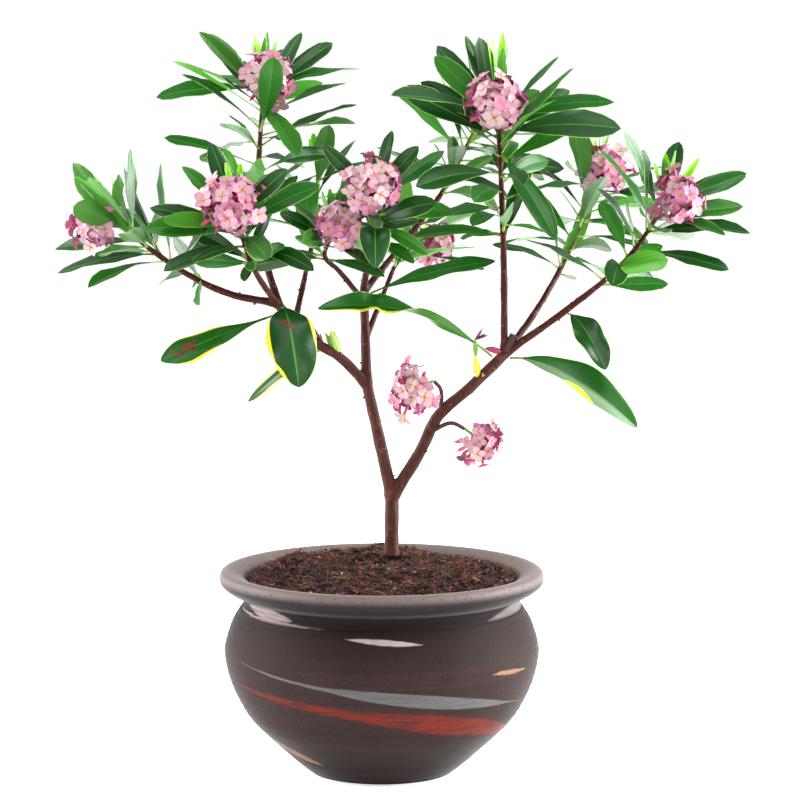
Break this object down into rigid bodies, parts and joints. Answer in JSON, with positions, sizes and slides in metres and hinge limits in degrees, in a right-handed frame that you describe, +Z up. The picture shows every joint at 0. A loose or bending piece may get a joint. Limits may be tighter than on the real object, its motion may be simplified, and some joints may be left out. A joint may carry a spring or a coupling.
{
  "type": "potted daphne shrub",
  "caption": "Small flowering daphne in a round dark clay pot: forked trunk, tapering boughs, whorls of long glossy leaves and ball-shaped heads of pale pink blossom.",
  "frame": {"origin": "middle of the pot's flat underside, where it stands", "axes": "+Z up along the pot's axis, -Y towards the front of the plant, +X to the right seen from the front"},
  "size_m": [0.5127, 0.2851, 0.5548],
  "materials": {
    "pot_clay": "matt dark brown clay with pale, grey and orange streaks",
    "soil": "rough fibrous potting mix",
    "bark": "smooth reddish brown bark with leaf scars",
    "foliage": "glossy deep green leaf with a thin pale margin",
    "blossom": "waxy pale pink petal"
  },
  "bodies": {
    "root": {"pot": "pot_clay", "soil": "soil", "trunk": "bark", "left_stem": "bark", "middle_stem": "bark", "right_stem": "bark", "left_bough": "bark", "far_left_bough": "bark", "upper_left_bough": "bark", "front_left_bough": "bark", "inner_left_bough": "bark", "centre_left_bough": "bark", "centre_bough": "bark", "upper_right_bough": "bark", "back_bough": "bark", "right_upright_bough": "bark", "right_back_bough": "bark", "far_right_bough": "bark", "far_left_foliage": "foliage", "upper_left_foliage": "foliage", "front_left_foliage": "foliage", "inner_left_foliage": "foliage", "centre_left_foliage": "foliage", "centre_foliage": "foliage", "upper_right_foliage": "foliage", "back_foliage": "foliage", "right_upright_foliage": "foliage", "right_back_foliage": "foliage", "far_right_foliage": "foliage", "leaf_left_broad": "foliage", "leaf_left_spotted": "foliage", "leaf_left_small": "foliage", "leaf_middle_long": "foliage", "leaf_centre_front": "foliage", "leaf_centre_right": "foliage", "leaf_right_long": "foliage", "leaf_right_low": "foliage", "low_blossom_left": "blossom", "low_blossom_right": "blossom"}
  },
  "joints": []
}
